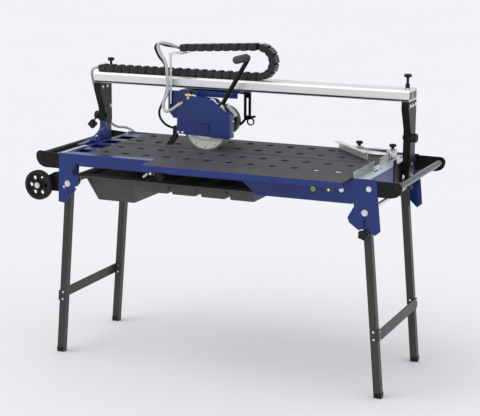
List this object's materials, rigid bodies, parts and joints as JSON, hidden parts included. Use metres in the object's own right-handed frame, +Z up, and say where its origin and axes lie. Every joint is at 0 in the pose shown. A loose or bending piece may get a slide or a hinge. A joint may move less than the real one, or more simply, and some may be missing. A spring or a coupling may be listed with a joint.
{
  "type": "tile cutter",
  "caption": "Bridge tile cutter: motorised blade head on a rail carriage over a perforated table with water tray, fences, wheels and folding legs.",
  "frame": {"origin": "centre of the footprint of the whole machine, on the floor", "axes": "+Z up, +X along the beam to the right as the operator stands, +Y away from the operator"},
  "size_m": [1.617, 0.733, 1.315],
  "materials": {
    "blue_paint": "satin",
    "table_coating": "matt textured",
    "black_paint": "satin",
    "leg_paint": "satin",
    "zinc_sheet": "galvanised",
    "aluminium": "anodised",
    "steel": "plain",
    "black_plastic": "matt",
    "tray_plastic": "matt",
    "rubber": "matt",
    "hose_grey": "smooth"
  },
  "bodies": {
    "frame": {"front_side_panel": "blue_paint", "rear_side_panel": "blue_paint", "left_end_plate": "blue_paint", "right_end_plate": "blue_paint", "table_panel_front": "table_coating", "table_panel_rear": "table_coating", "fence_plate": "zinc_sheet", "handle_plate_left_front": "black_paint", "handle_plate_left_rear": "black_paint", "handle_tube_left": "black_paint", "handle_plate_right_front": "black_paint", "handle_plate_right_rear": "black_paint", "handle_tube_right": "steel", "wheel_bracket_front": "black_paint", "wheel_bracket_rear": "black_paint", "pivot_shaft_left": "steel", "pivot_shaft_right": "steel", "water_tray": "tray_plastic", "supply_hose": "hose_grey"},
    "leg_frame_left": {"leg_left_front": "leg_paint", "leg_left_rear": "leg_paint", "leg_brace_left": "leg_paint"},
    "leg_frame_right": {"leg_right_front": "leg_paint", "leg_right_rear": "leg_paint", "leg_brace_right": "leg_paint"},
    "leg_lock": {"leg_knob": "black_plastic"},
    "wheel_front_spin": {"wheel_front": "rubber"},
    "wheel_rear_spin": {"wheel_rear": "rubber"},
    "extension": {"side_extension": "table_coating"},
    "extension_lock": {"extension_knob": "black_plastic"},
    "guide": {"guide_arm": "aluminium"},
    "guide_clamp": {"guide_clamp_knob": "black_plastic"},
    "miter": {"miter_bar": "aluminium"},
    "miter_lock": {"miter_knob": "black_plastic"},
    "bridge": {"upright_base_left": "blue_paint", "upright_base_right": "black_paint", "bridge_arm_left": "black_paint", "bridge_arm_right": "black_paint", "beam": "aluminium", "chain_lower_run": "black_plastic"},
    "stop_left": {"stop_knob_left": "black_plastic"},
    "stop_right": {"stop_knob_right": "black_plastic"},
    "arm_clamp_left": {"tilt_knob_left": "black_plastic"},
    "arm_clamp_right": {"tilt_knob_right": "black_plastic"},
    "chain_bend": {"chain_loop": "black_plastic"},
    "carriage": {"carriage_body": "blue_paint", "chain_post": "steel", "chain_upper_run": "black_plastic", "water_hose": "hose_grey", "motor_cable": "rubber"},
    "roller_left": {"carriage_roller_left": "steel"},
    "roller_right": {"carriage_roller_right": "steel"},
    "head_hook": {"depth_link": "black_paint"},
    "head": {"blade_guard": "blue_paint", "motor_housing": "steel", "handle_lever": "black_paint", "handle_grip": "rubber", "splash_flap": "black_plastic"},
    "blade_spin": {"blade": "steel", "spindle": "steel"}
  },
  "joints": [
    {"name": "left_leg_fold", "type": "hinge", "parent": "frame", "child": "leg_frame_left", "pos_m": [-0.6145, 0.03452, 0.745], "axis": [0, -1, 0], "range_deg": [0, 84]},
    {"name": "right_leg_fold", "type": "hinge", "parent": "frame", "child": "leg_frame_right", "pos_m": [0.6655, 0.03452, 0.741], "axis": [0, 1, 0], "range_deg": [0, 72]},
    {"name": "leg_knob_turn", "type": "hinge", "parent": "leg_frame_right", "child": "leg_lock", "pos_m": [0.6655, -0.28048, 0.659], "axis": [0, 1, 0], "continuous": true},
    {"name": "front_wheel_spin", "type": "hinge", "parent": "frame", "child": "wheel_front_spin", "pos_m": [-0.7465, -0.27648, 0.73], "axis": [0, 1, 0], "continuous": true},
    {"name": "rear_wheel_spin", "type": "hinge", "parent": "frame", "child": "wheel_rear_spin", "pos_m": [-0.7465, 0.34552, 0.73], "axis": [0, 1, 0], "continuous": true},
    {"name": "extension_slide", "type": "slide", "parent": "frame", "child": "extension", "axis": [0, -1, 0], "range_m": [0, 0.15]},
    {"name": "extension_knob_turn", "type": "hinge", "parent": "frame", "child": "extension_lock", "pos_m": [-0.1855, -0.27548, 0.812], "axis": [0, 1, 0], "continuous": true},
    {"name": "guide_slide", "type": "slide", "parent": "frame", "child": "guide", "axis": [0, 1, 0], "range_m": [-0.12, 0]},
    {"name": "guide_clamp_turn", "type": "hinge", "parent": "guide", "child": "guide_clamp", "pos_m": [0.616, 0.22452, 0.91], "axis": [0, 0, 1], "continuous": true},
    {"name": "miter_swing", "type": "hinge", "parent": "guide", "child": "miter", "pos_m": [0.4705, 0.23452, 0.89], "axis": [0, 0, 1], "range_deg": [-20, 32]},
    {"name": "miter_knob_turn", "type": "hinge", "parent": "guide", "child": "miter_lock", "pos_m": [0.4705, 0.23452, 0.91], "axis": [0, 0, 1], "continuous": true},
    {"name": "bridge_tilt", "type": "hinge", "parent": "frame", "child": "bridge", "pos_m": [0.0145, 0.04902, 0.87], "axis": [1, 0, 0], "range_deg": [0, 45], "deforming": ["supply_hose"]},
    {"name": "left_stop_turn", "type": "hinge", "parent": "bridge", "child": "stop_left", "pos_m": [-0.6515, 0.18452, 1.19], "axis": [0, 0, 1], "continuous": true},
    {"name": "right_stop_turn", "type": "hinge", "parent": "bridge", "child": "stop_right", "pos_m": [0.6825, 0.18452, 1.19], "axis": [0, 0, 1], "continuous": true},
    {"name": "left_arm_clamp_turn", "type": "hinge", "parent": "bridge", "child": "arm_clamp_left", "pos_m": [-0.6755, 0.14852, 0.967], "axis": [1, 0, 0], "continuous": true},
    {"name": "right_arm_clamp_turn", "type": "hinge", "parent": "bridge", "child": "arm_clamp_right", "pos_m": [0.7045, 0.14852, 0.967], "axis": [1, 0, 0], "continuous": true},
    {"name": "carriage_travel", "type": "slide", "parent": "bridge", "child": "carriage", "axis": [1, 0, 0], "range_m": [-0.24, 0.5], "deforming": ["chain_lower_run", "chain_upper_run"]},
    {"name": "chain_bend_travel", "type": "slide", "parent": "carriage", "child": "chain_bend", "axis": [1, 0, 0], "range_m": [-0.28, 0.13]},
    {"name": "left_roller_turn", "type": "hinge", "parent": "carriage", "child": "roller_left", "pos_m": [-0.2255, 0.21052, 1.1505], "axis": [0, 1, 0], "range_deg": [-1100, 2200]},
    {"name": "right_roller_turn", "type": "hinge", "parent": "carriage", "child": "roller_right", "pos_m": [-0.0555, 0.21052, 1.1505], "axis": [0, 1, 0], "range_deg": [-1100, 2200]},
    {"name": "head_hook_swing", "type": "hinge", "parent": "carriage", "child": "head_hook", "pos_m": [-0.0305, 0.23802, 1.08], "axis": [0, -1, 0], "range_deg": [-5, 25]},
    {"name": "head_plunge", "type": "hinge", "parent": "carriage", "child": "head", "pos_m": [-0.2825, 0.03452, 1.014], "axis": [0, -1, 0], "range_deg": [-2, 10], "deforming": ["water_hose", "motor_cable"]},
    {"name": "blade_turn", "type": "hinge", "parent": "head", "child": "blade_spin", "pos_m": [-0.1375, 0.04902, 0.967], "axis": [0, 1, 0], "continuous": true}
  ],
  "couplings": [
    {"joint": "chain_bend_travel", "follows": "carriage_travel", "ratio": -0.5},
    {"joint": "left_roller_turn", "follows": "carriage_travel", "rad_per_m": 71.429},
    {"joint": "right_roller_turn", "follows": "carriage_travel", "rad_per_m": 71.429}
  ]
}
